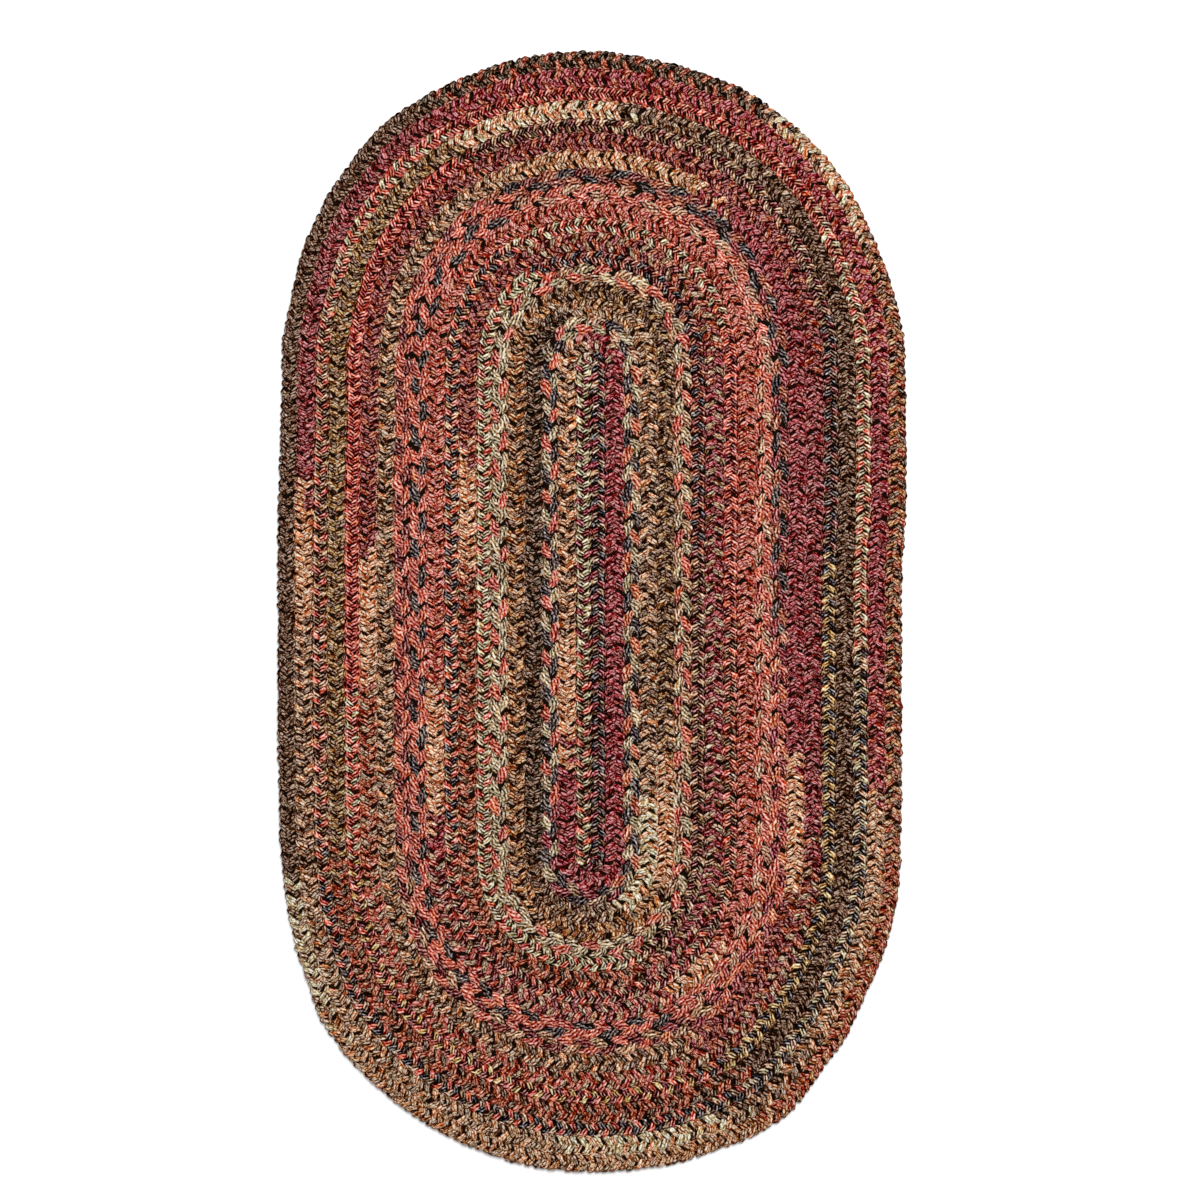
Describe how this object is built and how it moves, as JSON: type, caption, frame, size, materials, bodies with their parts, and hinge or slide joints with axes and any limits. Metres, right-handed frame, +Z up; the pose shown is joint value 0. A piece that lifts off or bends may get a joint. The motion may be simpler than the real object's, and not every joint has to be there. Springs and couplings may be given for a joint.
{
  "type": "braided rug",
  "caption": "Flat oval rug of nineteen rings of three-strand yarn braid, one round the other about a straight middle seam and laced edge to edge; lies on a floor, either face up.",
  "frame": {"origin": "bottom centre of the rug's box, on the floor", "axes": "+Z up, +Y along the rug's length towards the end where the two ends of each ring are joined, +X across"},
  "size_m": [0.6852, 1.2214, 0.01],
  "materials": {
    "braided_yarn": "matt wool and chenille yarn in mixed reds, plums, browns, sage and cream"
  },
  "bodies": {
    "root": {"braided_rug": "braided_yarn"}
  },
  "joints": []
}
